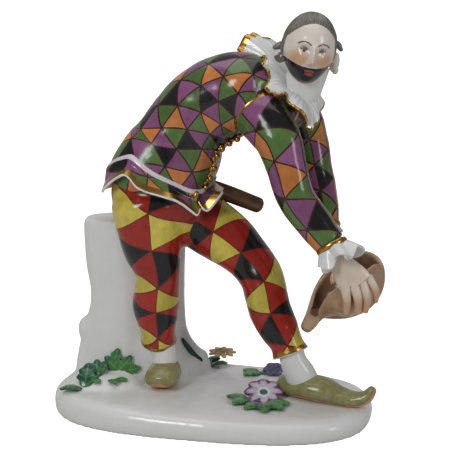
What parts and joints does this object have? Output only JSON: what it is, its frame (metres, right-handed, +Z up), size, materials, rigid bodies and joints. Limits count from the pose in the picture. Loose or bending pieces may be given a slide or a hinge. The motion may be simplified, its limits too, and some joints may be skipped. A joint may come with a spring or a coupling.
{
  "type": "porcelain harlequin figurine",
  "caption": "Glazed porcelain figurine of a bowing masquerade harlequin in patchwork dress, hat in hand, against a tree stump on a flowered mound base",
  "frame": {"origin": "middle of the base's flat underside, on the surface that it stands on", "axes": "+Z up along the figure's height, +X to the viewer's right, the way it bows, +Y away from the viewer"},
  "size_m": [0.1321, 0.0856, 0.1602],
  "materials": {
    "porcelain": "glossy clear glaze over white porcelain, painted in enamel colours with gilt trims"
  },
  "bodies": {
    "root": {"porcelain_harlequin": "porcelain"}
  },
  "joints": []
}
